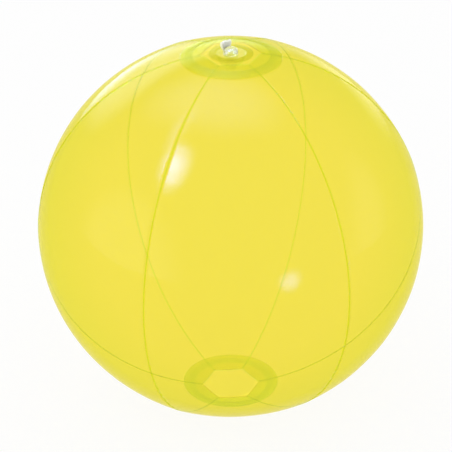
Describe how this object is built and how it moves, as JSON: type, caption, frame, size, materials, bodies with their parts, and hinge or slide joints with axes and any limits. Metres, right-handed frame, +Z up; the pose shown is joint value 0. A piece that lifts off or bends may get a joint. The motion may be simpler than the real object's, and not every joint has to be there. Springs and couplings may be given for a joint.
{
  "type": "inflatable beach ball",
  "caption": "Inflated see-through yellow beach ball of welded film panels between two pole discs, with a push-in valve, tethered stopper and one-way flap.",
  "frame": {"origin": "middle of the flat patch that the inflated ball rests on, on the axis through both pole discs", "axes": "+Z up along the axis from the bottom disc to the valve; -Y out through the middle of panel_1; +X along a seam"},
  "size_m": [0.28, 0.2784, 0.2827],
  "materials": {
    "yellow_film": "clear yellow soft film, glossy",
    "welded_film": "two films fused into one bead, darker and greener, glossy",
    "clear_vinyl": "clear soft vinyl moulding, glossy"
  },
  "bodies": {
    "ball": {"panel_1": "yellow_film", "panel_2": "yellow_film", "panel_3": "yellow_film", "panel_4": "yellow_film", "panel_5": "yellow_film", "panel_6": "yellow_film", "seam_weld_1": "welded_film", "seam_weld_2": "welded_film", "seam_weld_3": "welded_film", "seam_weld_4": "welded_film", "seam_weld_5": "welded_film", "seam_weld_6": "welded_film", "top_disc": "yellow_film", "bottom_disc": "yellow_film", "valve_flange": "clear_vinyl", "valve_membrane": "clear_vinyl"},
    "valve_stem": {"valve_stem": "clear_vinyl", "tether_strap": "clear_vinyl"},
    "stopper": {"stopper": "clear_vinyl"},
    "check_flap": {"check_flap": "clear_vinyl"}
  },
  "joints": [
    {"name": "valve_pop_out", "type": "slide", "parent": "ball", "child": "valve_stem", "axis": [0, 0, 1], "range_m": [0, 0.014], "deforming": ["valve_membrane"]},
    {"name": "stopper_pull", "type": "slide", "parent": "valve_stem", "child": "stopper", "axis": [0, 0, 1], "range_m": [0, 0.009], "deforming": ["tether_strap"]},
    {"name": "flap_open", "type": "hinge", "parent": "valve_stem", "child": "check_flap", "pos_m": [0, 0.0037, 0.26428], "axis": [1, 0, 0], "range_deg": [0, 55], "stiffness_Nm_per_rad": 0.00002}
  ]
}
